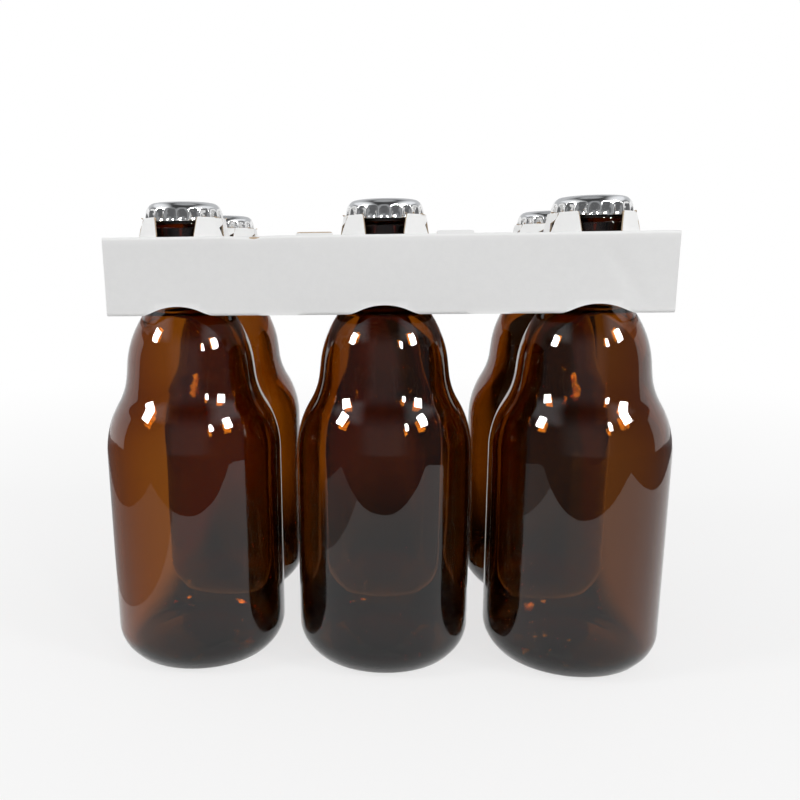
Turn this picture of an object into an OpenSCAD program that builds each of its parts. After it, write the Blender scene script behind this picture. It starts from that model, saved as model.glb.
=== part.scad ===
// Six-pack carrier: one folded board sleeve hangs on the necks of six capped glass bottles.
// X runs along a row of three, Y from the front row to the back row, Z up from the table.

/* [Bottle] */
// Diameter of the bottle body
body_d = 68; // [62:0.5:74]
// Height of the glass, without its cap
bottle_h = 175; // [150:0.5:190]
// Diameter of the waist between shoulder and bulb
waist_d = 50.8; // [46:0.2:54]
// Diameter at which the two slopes of the bulb would meet
bulb_d = 46.5; // [43:0.1:47]
// Diameter of the neck above the bulb
neck_d = 26.1; // [24:0.1:27]
// Length from the top down to where the neck would meet the bulb
neck_l = 34.2; // [30:0.1:38]
// Length of the bulb's upper slope, measured upright
bulb_l = 12.9; // [12.6:0.1:14]
// Length of the bulb's lower slope down to the waist, measured upright
waist_l = 20.3; // [19:0.1:24]
// Length of the shoulder's slope, measured upright
shoulder_l = 15.3; // [14:0.1:17]
// Thickness of the glass wall
wall_t = 2.8; // [2:0.1:3.4]
// Thickness of the glass at the base
base_t = 4; // [3:0.1:5]
// Depth of the hollow under the base
pushup_h = 3.2; // [2:0.1:4]

/* [Bottle rounding] */
// Radius of the flat middle of the hollow under the base, out to its rounding
dish_r = 12; // [10:0.2:13]
// Rounding of that hollow
dish_round = 30; // [20:1:34]
// Inner radius of the ring that the bottle stands on
bearing_r = 20.8; // [20:0.1:22]
// Radius at which the base plane would meet the heel slope
heel_r = 27.8; // [27.2:0.1:28]
// Height at which the heel slope would meet the body wall
heel_h = 7.2; // [7.1:0.1:8.6]
// Lower rounding of the heel
heel_low_round = 6; // [4.5:0.1:6.2]
// Upper rounding of the heel
heel_high_round = 13.5; // [10:0.5:13.5]
// Rounding of the shoulder
shoulder_round = 30; // [18:0.5:34]
// Hollow rounding of the waist
waist_round = 9.5; // [6:0.5:14]
// Rounding of the bulb
bulb_round = 38; // [30:0.5:38.5]
// Hollow rounding between bulb and neck
neck_round = 14.5; // [6:0.5:14.5]

/* [Bottle mouth] */
// Diameter of the lip that the cap grips
lip_d = 26.6; // [26:0.1:27]
// Height of the lip
lip_h = 4; // [3.8:0.1:4.1]
// Rounding of the lip's outer edge
lip_round = 3; // [2.9:0.05:3.2]
// Rounding of the lip's inner edge
mouth_round = 1; // [0.4:0.1:1.2]
// How far the throat under the lip lies in from the lip
throat_in = 0.85; // [0.6:0.05:1.2]
// Length of the slope from the lip to the throat
throat_slope_h = 2.2; // [1.6:0.1:2.4]
// Length of the straight throat
throat_h = 0.9; // [0.6:0.1:1.2]
// How far the bead under the throat stands out from the lip
bead_out = 0.5; // [0.2:0.05:0.6]
// Height of the bead's straight side
bead_h = 5.4; // [4:0.1:6]
// Height of the slope above and below the bead
bead_slope_h = 1.3; // [1:0.1:1.6]
// Rounding of the edges of lip, throat and bead
mouth_edge_round = 0.6; // [0.3:0.1:0.7]
// Diameter of the bore through the mouth
bore_d = 16.4; // [15:0.1:17]
// Length of the straight bore
bore_h = 15; // [12:0.5:18]
// Length of the flare from the bore to the neck
flare_h = 9; // [6:0.5:10]
// Rounding at both ends of the flare
flare_round = 6; // [3:0.5:10]

/* [Crown cap] */
// Diameter over the flutes at the rim
crown_d = 29.2; // [28.8:0.1:29.8]
// Height of the cap
crown_h = 6.9; // [6.4:0.1:7.1]
// Number of flutes
crown_flutes = 21; // [15:1:24]
// Thickness of the tinplate
tin_t = 0.25; // [0.2:0.01:0.3]
// Rounding between the top and the skirt
crown_round = 3.2; // [2.9:0.05:3.3]
// Clearance between the skirt and the lip
crown_clear = 0.08; // [0.06:0.01:0.12]
// How far the rim is crimped in under the lip between the flutes
crimp = 0.3; // [0.1:0.01:0.4]
// Thickness of the sealing ring in the cap
liner_t = 0.7; // [0.5:0.05:0.9]
// Thickness of the liner inside the sealing ring
liner_web_t = 0.35; // [0.2:0.05:0.4]
// Width of the sealing ring
liner_ring_w = 2.6; // [2:0.1:3.4]

/* [Carrier sleeve] */
// Gap between bottles along a row
gap_x = 7; // [4:0.5:12]
// Gap between the two rows
gap_y = 7; // [4:0.5:12]
// Thickness of the board
board_t = 0.5; // [0.4:0.05:0.7]
// Height of the sleeve
sleeve_h = 27.8; // [25:0.1:30]
// How far the sleeve runs past the axis of an end bottle
end_reach = 26; // [22:0.5:30]
// Distance from a row's axes to the outside of its side panel
panel_reach = 18.5; // [18:0.1:20]
// Outer rounding of the folds
fold_round = 1.2; // [0.9:0.1:1.6]
// Diameter of the base holes, cut across the lower folds
base_hole_d = 43.6; // [42.6:0.1:44.4]
// Length of the cuts in the lower folds between bottles
fold_cut_l = 13; // [8:0.5:15]
// How far those cuts reach into the base panel
fold_cut_reach = 4; // [2.5:0.5:6]
// Width of the glue lap inside the base panel
lap_w = 18; // [10:1:24]

/* [Neck tabs] */
// Length of a tab from its fold
tab_len = 7.2; // [6.4:0.1:7.6]
// Width of a tab at its tip
tab_tip_w = 7.8; // [6:0.1:8.2]
// Width of the slit between two tabs at their folds
tab_slit = 0.6; // [0.5:0.05:1]
// How far a tab leans in from upright, in degrees
tab_lean = 8; // [5:0.5:11]
// How far the tab tips reach up past the crown rim, outside it
tab_over = 1.4; // [1:0.1:1.8]
// Clearance between the tabs and the crown rim
tab_clear = 0.1; // [0.05:0.05:0.2]

/* [Finger holes] */
// Distance of each finger hole from the middle of the sleeve
finger_x = 29; // [26:0.5:34]
// Width of a finger hole along the sleeve
finger_w = 16; // [14:0.5:18]
// Length of a finger hole across the sleeve
finger_l = 22; // [19:0.5:26]
// Rounding of the finger hole's far corners
finger_round = 7; // [4:0.5:7]
// Length of the raised flap
flap_len = 9.4; // [7:0.1:11]
// Tilt of the raised flap, in degrees
flap_tilt = 22; // [15:1:35]
// Gap between the flap and the hole's sides
flap_gap = 0.5; // [0.3:0.1:0.8]
// Rounding of the flap's and the hole's small corners
flap_round = 1.5; // [0.8:0.1:3]

/* [Hidden] */
// Places of the bottles, named as seen from the front
ROWS = ["front", "back"];
COLUMNS = ["left", "middle", "right"];
PLACE_NAMES = [for (row = ROWS) for (column = COLUMNS) str(row, "_", column)];

$fn = 96;
// Largest distance of an arc's chords from the arc
arc_tolerance = 0.03;
// Overrun of every cut past the face it starts from
overrun = 1;

pitch_x = body_d + gap_x;
pitch_y = body_d + gap_y;
row_y = [-pitch_y / 2, pitch_y / 2];
column_x = [-pitch_x, 0, pitch_x];
PLACES = [for (y = row_y) for (x = column_x) [x, y]];

// Heights along the bottle, counted down from the top
neck_z = bottle_h - neck_l;
bulb_z = neck_z - bulb_l;
waist_z = bulb_z - waist_l;
shoulder_z = waist_z - shoulder_l;
lip_z = bottle_h - lip_h;
throat_top_z = lip_z - throat_slope_h;
throat_low_z = throat_top_z - throat_h;
bead_top_z = throat_low_z - bead_slope_h;
bead_low_z = bead_top_z - bead_h;
bead_foot_z = bead_low_z - bead_slope_h;
bore_end_z = bottle_h - bore_h;
flare_end_z = bore_end_z - flare_h;

// Corners of the glass from the middle of the base up to the neck, with their roundings
GLASS_CORNERS = [
    [0, pushup_h],
    [dish_r, pushup_h],
    [bearing_r, 0],
    [heel_r, 0],
    [body_d / 2, heel_h],
    [body_d / 2, shoulder_z],
    [waist_d / 2, waist_z],
    [bulb_d / 2, bulb_z],
    [neck_d / 2, neck_z],
    [neck_d / 2, flare_end_z]
];
GLASS_ROUNDS = [
    0,
    dish_round,
    mouth_edge_round,
    heel_low_round,
    heel_high_round,
    shoulder_round,
    waist_round,
    bulb_round,
    neck_round,
    0
];
// Glass thickness along each stretch between those corners
GLASS_WALLS = [base_t, base_t, base_t, wall_t, wall_t, wall_t, wall_t, wall_t, wall_t];

// Radii of the mouth, counted from the lip
throat_r = lip_d / 2 - throat_in;
bead_r = lip_d / 2 + bead_out;

// Corners of the mouth from the neck over the lip and down the bore, with their roundings
MOUTH_CORNERS = [
    [neck_d / 2, bead_foot_z],
    [bead_r, bead_low_z],
    [bead_r, bead_top_z],
    [throat_r, throat_low_z],
    [throat_r, throat_top_z],
    [lip_d / 2, lip_z],
    [lip_d / 2, bottle_h],
    [bore_d / 2, bottle_h],
    [bore_d / 2, bore_end_z],
    [neck_d / 2 - wall_t, flare_end_z]
];
MOUTH_ROUNDS = [
    mouth_edge_round,
    mouth_edge_round,
    mouth_edge_round,
    mouth_edge_round,
    mouth_edge_round,
    mouth_edge_round,
    lip_round,
    mouth_round,
    flare_round,
    flare_round
];

// Cap: its skirt runs down from the shoulder rounding to the rim
crown_top_z = bottle_h + liner_t + tin_t;
crown_rim_z = crown_top_z - crown_h;
crown_wall_r = lip_d / 2 + crown_clear + tin_t;
crown_flat_r = crown_wall_r - crown_round;
crown_shoulder_z = crown_top_z - crown_round;
flute_depth = crown_d / 2 - crown_wall_r;
// Points on a ring for each flute, and how far each stands out
FLUTE_SHARES = [1, 0.5, 0, 0.5];
// Where the rings of the skirt lie from shoulder to rim, and how deep the flutes are there
SKIRT_SHARES = [0, 0.55, 1];
flute_growth = 0.8;
ring_n = crown_flutes * len(FLUTE_SHARES);

// Carrier: the tabs lean on the crown rim from outside, which sets the height of the sleeve
tab_rise = tab_len * cos(tab_lean) - tab_over;
tab_hinge_r = crown_d / 2 + tab_clear + board_t / cos(tab_lean) + tab_rise * tan(tab_lean);
tab_sides = 8;
tab_base_w = 2 * tab_hinge_r * tan(180 / tab_sides) - tab_slit;
neck_hole_r = tab_hinge_r - board_t;
sleeve_top_z = crown_rim_z - tab_rise;
sleeve_low_z = sleeve_top_z - sleeve_h;
sleeve_l = 2 * pitch_x + 2 * end_reach;
sleeve_d = pitch_y + 2 * panel_reach;
fold_cut_x = [-pitch_x / 2, pitch_x / 2];

function unit(v) = v / norm(v);
function left_of(a, b) = let (d = unit(b - a)) [-d[1], d[0]];
function turns_left(a, b, c) = cross(b - a, c - b) > 0;

// The arc that rounds the corner b between a and c, or b itself where r is 0
function corner_arc(a, b, c, r) =
    let (
        back = unit(a - b),
        on = unit(c - b),
        half = acos(back * on) / 2,
        first = b + back * r / tan(half),
        middle = b + unit(back + on) * r / sin(half),
        turn = (180 - 2 * half) * (turns_left(a, b, c) ? 1 : -1),
        from = r == 0 ? 0 : atan2(first[1] - middle[1], first[0] - middle[0]),
        tolerance_share = r == 0 ? 1 : min(1, arc_tolerance / r),
        steps = max(2, ceil(abs(turn) / (2 * acos(1 - tolerance_share))))
    )
    r == 0 ? [b] : [
        for (i = [0 : steps])
            let (angle = from + turn * i / steps)
            middle + r * [cos(angle), sin(angle)]
    ];

// A line through corners, each rounded by its radius, with its two ends left sharp
function rounded_line(corners, rounds) =
    let (last = len(corners) - 1)
    concat(
        [corners[0]],
        [
            for (i = [1 : last - 1])
                each corner_arc(corners[i - 1], corners[i], corners[i + 1], rounds[i])
        ],
        [corners[last]]
    );

// A closed outline through corners, each rounded by its radius
function rounded_loop(corners, rounds) =
    let (n = len(corners))
    [
        for (i = [0 : n - 1])
            each corner_arc(
                corners[(i + n - 1) % n], corners[i], corners[(i + 1) % n], rounds[i]
            )
    ];

// The corners of a line moved to its left by the thickness of each stretch
function inset_corners(corners, walls) =
    let (last = len(corners) - 1)
    [
        for (i = [0 : last])
            let (
                before = left_of(corners[max(i - 1, 0)], corners[max(i - 1, 0) + 1]),
                after = left_of(corners[min(i, last - 1)], corners[min(i, last - 1) + 1]),
                wall_before = walls[max(i - 1, 0)],
                wall_after = walls[min(i, last - 1)],
                along = before * after,
                square = 1 - along * along
            )
            corners[i] + (
                i == 0 || i == last
                    ? after * wall_after
                    : (
                        before * (wall_before - along * wall_after)
                        + after * (wall_after - along * wall_before)
                    ) / square
            )
    ];

// Roundings of the inset line: a bend to the left gets tighter, one to the right gets wider
function inset_rounds(corners, rounds, walls) =
    let (last = len(corners) - 1)
    [
        for (i = [0 : last])
            i == 0 || i == last
                ? 0
                : turns_left(corners[i - 1], corners[i], corners[i + 1])
                    ? max(rounds[i] - walls[i], mouth_edge_round)
                    : rounds[i] + walls[i]
    ];

function reversed(list) = [for (i = [len(list) - 1 : -1 : 0]) list[i]];

// Half section of the glass, from the base up the outside and down the inside
module glass_section() {
    last = len(GLASS_CORNERS) - 1;
    inner = inset_corners(GLASS_CORNERS, GLASS_WALLS);
    inner_rounds = inset_rounds(GLASS_CORNERS, GLASS_ROUNDS, GLASS_WALLS);
    outside = [for (i = [0 : last - 1]) GLASS_CORNERS[i]];
    outside_rounds = [for (i = [0 : last - 1]) GLASS_ROUNDS[i]];
    inside = reversed([for (i = [0 : last - 1]) inner[i]]);
    inside_rounds = reversed([for (i = [0 : last - 1]) inner_rounds[i]]);
    polygon(rounded_line(
        concat(outside, MOUTH_CORNERS, inside),
        concat(outside_rounds, MOUTH_ROUNDS, inside_rounds)
    ));
}

module bottle() {
    color("saddlebrown")
        rotate_extrude()
            glass_section();
}

// Profile of the cap's outer side as [radius between flutes, height, flute depth]
function crown_profile(inset) =
    let (
        round_r = crown_round - inset,
        skirt_h = crown_shoulder_z - crown_rim_z
    )
    concat(
        [
            for (angle = [90, 45])
                [
                    crown_flat_r + round_r * cos(angle),
                    crown_shoulder_z + round_r * sin(angle),
                    0
                ]
        ],
        [
            for (share = SKIRT_SHARES)
                [
                    crown_wall_r - inset - crimp * pow(share, 3),
                    crown_shoulder_z - skirt_h * share,
                    (flute_depth + crimp * pow(share, 3)) * pow(share, flute_growth)
                ]
        ]
    );

function crown_ring(profile) = [
    for (i = [0 : ring_n - 1])
        let (
            angle = 360 * i / ring_n,
            r = profile[0] + profile[2] * FLUTE_SHARES[i % len(FLUTE_SHARES)]
        )
        [r * cos(angle), r * sin(angle), profile[1]]
];

// Fluted cap: rings run down the outside of the sheet, round the rim and up the inside
module crown_cap() {
    rings = concat(crown_profile(0), reversed(crown_profile(tin_t)));
    last = len(rings) - 1;
    points = [for (ring = rings) each crown_ring(ring)];
    sides = [
        for (k = [0 : last - 1])
            for (i = [0 : ring_n - 1])
                let (next = (i + 1) % ring_n)
                each [
                    [k * ring_n + i, k * ring_n + next, (k + 1) * ring_n + next],
                    [k * ring_n + i, (k + 1) * ring_n + next, (k + 1) * ring_n + i]
                ]
    ];
    top = [for (i = [ring_n - 1 : -1 : 0]) i];
    under = [for (i = [0 : ring_n - 1]) last * ring_n + i];
    color("silver")
        polyhedron(points, concat([top], sides, [under]));
}

// Soft seal inside the cap: a ring that seats on the lip round a thinner web
module cap_liner() {
    liner_r = crown_flat_r - crown_clear;
    ring_in_r = liner_r - liner_ring_w;
    web_z = bottle_h + liner_t - liner_web_t;
    seal_z = bottle_h + liner_t;
    color("lightgray")
        rotate_extrude()
            polygon([
                [0, web_z],
                [ring_in_r, web_z],
                [ring_in_r, bottle_h],
                [liner_r, bottle_h],
                [liner_r, seal_z],
                [0, seal_z]
            ]);
}

// Section of the folded sleeve across the rows
module sleeve_loop(inset) {
    side = sleeve_d / 2 - inset;
    low = sleeve_low_z + inset;
    high = sleeve_top_z - inset;
    round_r = fold_round - inset;
    polygon(rounded_loop(
        [[-side, low], [side, low], [side, high], [-side, high]],
        [round_r, round_r, round_r, round_r]
    ));
}

module along_sleeve(length) {
    rotate([90, 0, 90])
        linear_extrude(length, center = true)
            children();
}

module sleeve() {
    along_sleeve(sleeve_l)
        difference() {
            sleeve_loop(0);
            sleeve_loop(board_t);
        }
    translate([-sleeve_l / 2, -lap_w / 2, sleeve_low_z + board_t / 2])
        cube([sleeve_l, lap_w, board_t / 2 + board_t]);
}

// Round hole in the base panel under one bottle, which runs over the fold as a low arch
module base_hole(place) {
    outward = sign(place[1]);
    translate([place[0], place[1], sleeve_low_z - overrun])
        cylinder(h = overrun + fold_round, d = base_hole_d);
    translate([
        place[0],
        outward * (sleeve_d / 2 + overrun),
        sleeve_low_z - panel_reach
    ])
        rotate([90 * outward, 0, 0])
            cylinder(h = overrun + fold_round, d = base_hole_d);
}

// Eight-sided opening in the top panel, out to the folds of the tabs
module neck_hole(place) {
    translate([place[0], place[1], sleeve_top_z - board_t - overrun])
        rotate([0, 0, 180 / tab_sides])
            cylinder(
                h = board_t + 2 * overrun,
                r = neck_hole_r / cos(180 / tab_sides),
                $fn = tab_sides
            );
}

// One tab, folded up from the side of the opening that faces along +Y
module neck_tab() {
    base = tab_base_w / 2;
    tip = tab_tip_w / 2;
    translate([0, tab_hinge_r, sleeve_top_z])
        rotate([90 + tab_lean, 0, 0])
            linear_extrude(board_t)
                polygon([[-base, -board_t], [base, -board_t], [tip, tab_len], [-tip, tab_len]]);
}

// The tabs of one opening: every side has one but the side that faces out of the sleeve
module neck_tabs(place) {
    outward = sign(place[1]) * 90;
    translate([place[0], place[1], 0])
        for (i = [1 : tab_sides - 1])
            rotate([0, 0, outward - 90 + 360 * i / tab_sides])
                neck_tab();
}

// Cut in a lower fold between two bottles: the side panel keeps a straight raw edge there
module fold_cut(x, outward) {
    reach = sleeve_d / 2 - fold_cut_reach;
    translate([
        x - fold_cut_l / 2,
        outward > 0 ? reach : -reach - fold_cut_reach - overrun,
        sleeve_low_z - overrun
    ])
        cube([fold_cut_l, fold_cut_reach + overrun, overrun + fold_round]);
}

module fold_cut_edge(x, outward) {
    translate([
        x - fold_cut_l / 2,
        outward > 0 ? sleeve_d / 2 - board_t : -sleeve_d / 2,
        sleeve_low_z
    ])
        cube([fold_cut_l, board_t, 2 * fold_round]);
}

// Finger hole in the top panel, square at the fold of its flap and round at the far side
module finger_hole(x) {
    side = finger_w / 2;
    end = finger_l / 2;
    translate([x, 0, sleeve_top_z - board_t - overrun])
        linear_extrude(board_t + 2 * overrun)
            polygon(rounded_loop(
                [[-side, -end], [side, -end], [side, end], [-side, end]],
                [flap_round, flap_round, finger_round, finger_round]
            ));
}

// Flap of a finger hole, lifted about the fold on the hole's front side
module finger_flap(x) {
    side = finger_w / 2 - flap_gap;
    translate([x, -finger_l / 2, sleeve_top_z])
        rotate([flap_tilt, 0, 0])
            translate([0, 0, -board_t])
                linear_extrude(board_t)
                    polygon(rounded_loop(
                        [[-side, -board_t], [side, -board_t], [side, flap_len], [-side, flap_len]],
                        [0, 0, flap_round, flap_round]
                    ));
}

module carrier() {
    color("whitesmoke") {
        difference() {
            sleeve();
            for (place = PLACES) {
                base_hole(place);
                neck_hole(place);
            }
            for (x = fold_cut_x)
                for (outward = [-1, 1])
                    fold_cut(x, outward);
            for (x = [-finger_x, finger_x])
                finger_hole(x);
        }
        for (place = PLACES)
            neck_tabs(place);
        for (x = fold_cut_x)
            for (outward = [-1, 1])
                fold_cut_edge(x, outward);
        for (x = [-finger_x, finger_x])
            finger_flap(x);
    }
}

carrier();
for (i = [0 : len(PLACES) - 1]) {
    place = [PLACES[i][0], PLACES[i][1], 0];
    translate(place) bottle();
    translate(place) crown_cap();
    translate(place) cap_liner();
}
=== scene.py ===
# %% [markdown]
# # Six-pack bottle carrier
# A white board sleeve hangs on the necks of six amber stubby bottles with plain crown caps.
# The solids come from the CAD frame, so every piece below goes where the CAD puts it.
# This lesson builds three things that a plain solid lacks: glass that light really passes
# through, fluted caps, and a board that is cut flat and then folded, as the real one is.

import math

import bpy
import numpy as np
from mathutils import Matrix, Vector
from mathutils.geometry import delaunay_2d_cdt


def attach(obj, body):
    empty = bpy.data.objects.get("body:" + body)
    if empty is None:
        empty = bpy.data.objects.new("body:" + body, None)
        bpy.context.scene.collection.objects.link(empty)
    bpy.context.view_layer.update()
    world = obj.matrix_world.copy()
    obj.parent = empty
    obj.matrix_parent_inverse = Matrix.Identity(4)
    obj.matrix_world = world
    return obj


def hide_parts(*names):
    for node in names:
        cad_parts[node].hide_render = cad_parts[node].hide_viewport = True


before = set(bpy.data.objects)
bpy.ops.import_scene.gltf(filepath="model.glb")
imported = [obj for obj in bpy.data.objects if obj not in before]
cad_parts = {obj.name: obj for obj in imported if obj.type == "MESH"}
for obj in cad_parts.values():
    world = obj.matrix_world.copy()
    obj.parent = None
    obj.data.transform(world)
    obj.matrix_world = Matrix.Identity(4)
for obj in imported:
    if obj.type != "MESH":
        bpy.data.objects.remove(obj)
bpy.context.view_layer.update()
MM = 0.001

# %% [markdown]
# ## Places of the bottles
# The pack is a grid of two rows with three bottles each. Everything that repeats takes its
# place from these few numbers, which are the same as in the CAD source, in millimetres.

# %% Sizes shared by all pieces
PITCH = 75.0
COLUMNS, ROWS = 3, 2
COLUMN_X = [PITCH * (i - 1) for i in range(COLUMNS)]
ROW_Y = [-PITCH / 2, PITCH / 2]
PLACES = [(x, y) for y in ROW_Y for x in COLUMN_X]
PLACE_NAMES = [f"{r}_{c}" for r in ("front", "back") for c in ("left", "middle", "right")]
print("places:", dict(zip(PLACE_NAMES, PLACES)))

# %% [markdown]
# ## Camera
# The photograph was taken from close by, a little above the necks, with a wide lens. A camera
# that was fitted to the outlines of the bottles gives the place, tilt and focal length here.

# %% Camera
PHOTO_PX = 800
FOCAL_PX = 793.6
AXIS_PX = (331.0, 450.4)
CAMERA_AT = Vector((-0.8, -343.3, 150.8)) * MM
CAMERA_DOWN, CAMERA_RIGHT, CAMERA_ROLL = 12.72, -3.74, -0.6

camera_data = bpy.data.cameras.new("camera")
camera_data.sensor_width = 36
camera_data.lens = FOCAL_PX * camera_data.sensor_width / PHOTO_PX
camera_data.shift_x = (PHOTO_PX / 2 - AXIS_PX[0]) / PHOTO_PX
camera_data.shift_y = (AXIS_PX[1] - PHOTO_PX / 2) / PHOTO_PX
camera_data.clip_start = 0.01
camera = bpy.data.objects.new("camera", camera_data)
bpy.context.scene.collection.objects.link(camera)
camera.matrix_world = (
    Matrix.Translation(CAMERA_AT)
    @ Matrix.Rotation(math.radians(-CAMERA_RIGHT), 4, "Z")
    @ Matrix.Rotation(math.radians(90 - CAMERA_DOWN), 4, "X")
    @ Matrix.Rotation(math.radians(CAMERA_ROLL), 4, "Z")
)
bpy.context.scene.camera = camera
print("camera lens", round(camera_data.lens, 2), "mm")

# %% [markdown]
# ## Helpers for node trees
# Materials and Geometry Nodes are both trees of nodes. One small helper adds a node, sets its
# properties and joins its inputs, so that the cells below read as a list of what happens.


# %% Node helpers
def add_node(tree, kind, inputs=None, **settings):
    """A new node: inputs are keyed by name or number, and take a value or another node's socket."""
    made = tree.nodes.new(kind)
    for name, value in settings.items():
        setattr(made, name, value)
    for key, value in (inputs or {}).items():
        if isinstance(value, bpy.types.NodeSocket):
            tree.links.new(value, made.inputs[key])
        else:
            made.inputs[key].default_value = value
    return made


def calc(tree, operation, *values):
    """The result of one Math node."""
    inputs = dict(enumerate(values))
    return add_node(tree, "ShaderNodeMath", inputs, operation=operation).outputs[0]


def new_material(name):
    """An empty node material with its output node."""
    material = bpy.data.materials.new(name)
    material.use_nodes = True
    tree = material.node_tree
    tree.nodes.clear()
    return material, tree, add_node(tree, "ShaderNodeOutputMaterial")


def noise(tree, vector, scale, detail=2.0, roughness=0.5):
    """Noise on the given coordinates; scale counts blobs in a metre."""
    inputs = {"Vector": vector, "Scale": scale, "Detail": detail, "Roughness": roughness}
    return add_node(tree, "ShaderNodeTexNoise", inputs).outputs["Fac"]


def stretched(tree, vector, factors):
    """Coordinates that are stretched along the axes, for grain that runs one way."""
    inputs = {"Vector": vector, "Scale": factors}
    return add_node(tree, "ShaderNodeMapping", inputs).outputs[0]


def blend_colours(tree, factor, first, second):
    """A mix of two colours by a factor from 0 to 1."""
    mix = add_node(tree, "ShaderNodeMix", {0: factor}, data_type="RGBA")
    for key, value in ((6, first), (7, second)):
        if isinstance(value, bpy.types.NodeSocket):
            tree.links.new(value, mix.inputs[key])
        else:
            mix.inputs[key].default_value = (*value, 1)
    return mix.outputs[2]


def spread(tree, value, low, high):
    """A value from 0 to 1 spread over another range."""
    inputs = {"Value": value, "To Min": low, "To Max": high}
    return add_node(tree, "ShaderNodeMapRange", inputs).outputs[0]


def bumped(tree, height, strength, depth):
    """Normals that follow a height; depth is its reach in metres."""
    inputs = {"Height": height, "Strength": strength, "Distance": depth}
    return add_node(tree, "ShaderNodeBump", inputs).outputs[0]


def principled(tree, output, inputs):
    """A Principled shader with these inputs as the surface of a material."""
    shader = add_node(tree, "ShaderNodeBsdfPrincipled", inputs)
    tree.links.new(shader.outputs[0], output.inputs["Surface"])


def glowing(tree, output, inputs):
    """Plain light of its own as the surface of a material."""
    glow = add_node(tree, "ShaderNodeEmission", inputs)
    tree.links.new(glow.outputs[0], output.inputs["Surface"])


def object_coordinates(tree):
    """The place on the piece itself, which is also the place in the frame."""
    return add_node(tree, "ShaderNodeTexCoord").outputs["Object"]


print("node helpers ready")

# %% [markdown]
# ## Amber glass
# Bottle glass is clear: its brown comes from the way light fades on its path through the wall.
# So the surface is a plain glass shader, and a Volume Absorption node inside the wall takes out
# blue first, then green. Thin spots turn orange, and two bottles in a row turn nearly black.
# A moulded bottle is never quite even, so a broad, faint bump makes its reflections waver.

# %% Amber glass material
AMBER_PASSES = (0.735, 0.53, 0.03)
AMBER_DENSITY = 1000.0
GLASS_IOR = 1.52
GLASS_WAVES, GLASS_SPECKS = (60, 60, 22), 900.0


def amber_glass():
    material, tree, output = new_material("amber_glass")
    at = object_coordinates(tree)
    waves = noise(tree, stretched(tree, at, GLASS_WAVES), 1.0, detail=1.0)
    specks = noise(tree, at, GLASS_SPECKS)
    glass = {
        "Base Color": blend_colours(tree, specks, (1.0, 0.97, 0.92), (0.98, 0.93, 0.86)),
        "Roughness": spread(tree, specks, 0.0, 0.002),
        "IOR": GLASS_IOR,
        "Transmission Weight": 1.0,
        "Normal": bumped(tree, waves, 0.10, 0.002),
    }
    principled(tree, output, glass)
    inputs = {"Color": (*AMBER_PASSES, 1), "Density": AMBER_DENSITY}
    tint = add_node(tree, "ShaderNodeVolumeAbsorption", inputs)
    tree.links.new(tint.outputs[0], output.inputs["Volume"])
    return material


amber = amber_glass()
print("glass passes", AMBER_PASSES, "at density", AMBER_DENSITY)

# %% [markdown]
# ## Section of a bottle
# A bottle is a turned shape, so half of its section says it all. The section is a chain of
# corners, and each corner is rounded with its own radius: first up the outside, over the lip,
# and down the inside. The inner chain is the outer one moved in by the thickness of the glass.
# Blown glass has no crisp bends, so the shoulder and the waist are softer here than in the CAD
# solid, by a third of a millimetre, and the wall is a little thicker there, which deepens the tint.


# %% Rounded chains of corners
def unit(v):
    return v / np.linalg.norm(v)


def left_of(a, b):
    d = unit(b - a)
    return np.array([-d[1], d[0]])


def cross(a, b):
    return a[0] * b[1] - a[1] * b[0]


def corner_arc(a, b, c, radius, tolerance):
    """Points on the arc that rounds corner b between a and c, or b alone where radius is 0."""
    if radius == 0:
        return [b]
    back, on = unit(a - b), unit(c - b)
    half = math.acos(max(-1.0, min(1.0, back @ on))) / 2
    first = b + back * radius / math.tan(half)
    middle = b + unit(back + on) * radius / math.sin(half)
    turn = math.copysign(math.pi - 2 * half, cross(b - a, c - b))
    start = math.atan2(first[1] - middle[1], first[0] - middle[0])
    steps = max(2, math.ceil(abs(turn) / (2 * math.acos(1 - min(1.0, tolerance / radius)))))
    angles = [start + turn * i / steps for i in range(steps + 1)]
    return [middle + radius * np.array([math.cos(t), math.sin(t)]) for t in angles]


def rounded_line(corners, rounds, tolerance):
    """A line through the corners, each rounded by its radius, with both ends left sharp."""
    points = [corners[0]]
    for i in range(1, len(corners) - 1):
        points += corner_arc(*corners[i - 1 : i + 2], rounds[i], tolerance)
    return np.array(points + [corners[-1]])


def inset_line(corners, rounds, walls, least):
    """The corners moved to the left by the wall of each stretch, and their radii."""
    moved, radii, last = [], [], len(corners) - 1
    for i, corner in enumerate(corners):
        before = left_of(corners[max(i - 1, 0)], corners[max(i - 1, 0) + 1])
        after = left_of(corners[min(i, last - 1)], corners[min(i, last - 1) + 1])
        wall_a, wall_b = walls[max(i - 1, 0)], walls[min(i, last - 1)]
        if i in (0, last):
            moved.append(corner + after * wall_b)
            radii.append(0)
            continue
        along = before @ after
        lean = before * (wall_a - along * wall_b) + after * (wall_b - along * wall_a)
        moved.append(corner + lean / (1 - along * along))
        left_turn = cross(corner - corners[i - 1], corners[i + 1] - corner) > 0
        radii.append(max(rounds[i] - wall_b, least) if left_turn else rounds[i] + wall_b)
    return moved, radii


print("section helpers ready")

# %% Half section of the glass
BOTTLE_H = 175.0
BODY_R, NECK_R, LIP_R, BORE_R = 34.0, 13.05, 13.3, 8.2
BEAD_R, THROAT_R, PUSHUP_H = 13.8, 12.45, 3.2
WALL, BASE_WALL, SHOULDER_WALL, WAIST_WALL = 2.8, 4.0, 3.3, 3.1
LIP_H, LIP_SLOPE, THROAT_H, BEAD_SLOPE, BEAD_H = 4.0, 2.2, 0.9, 1.3, 5.4
BORE_L, FLARE_L = 15.0, 9.0
EDGE_ROUND = 0.6
SECTION_TOLERANCE = 0.012

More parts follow.
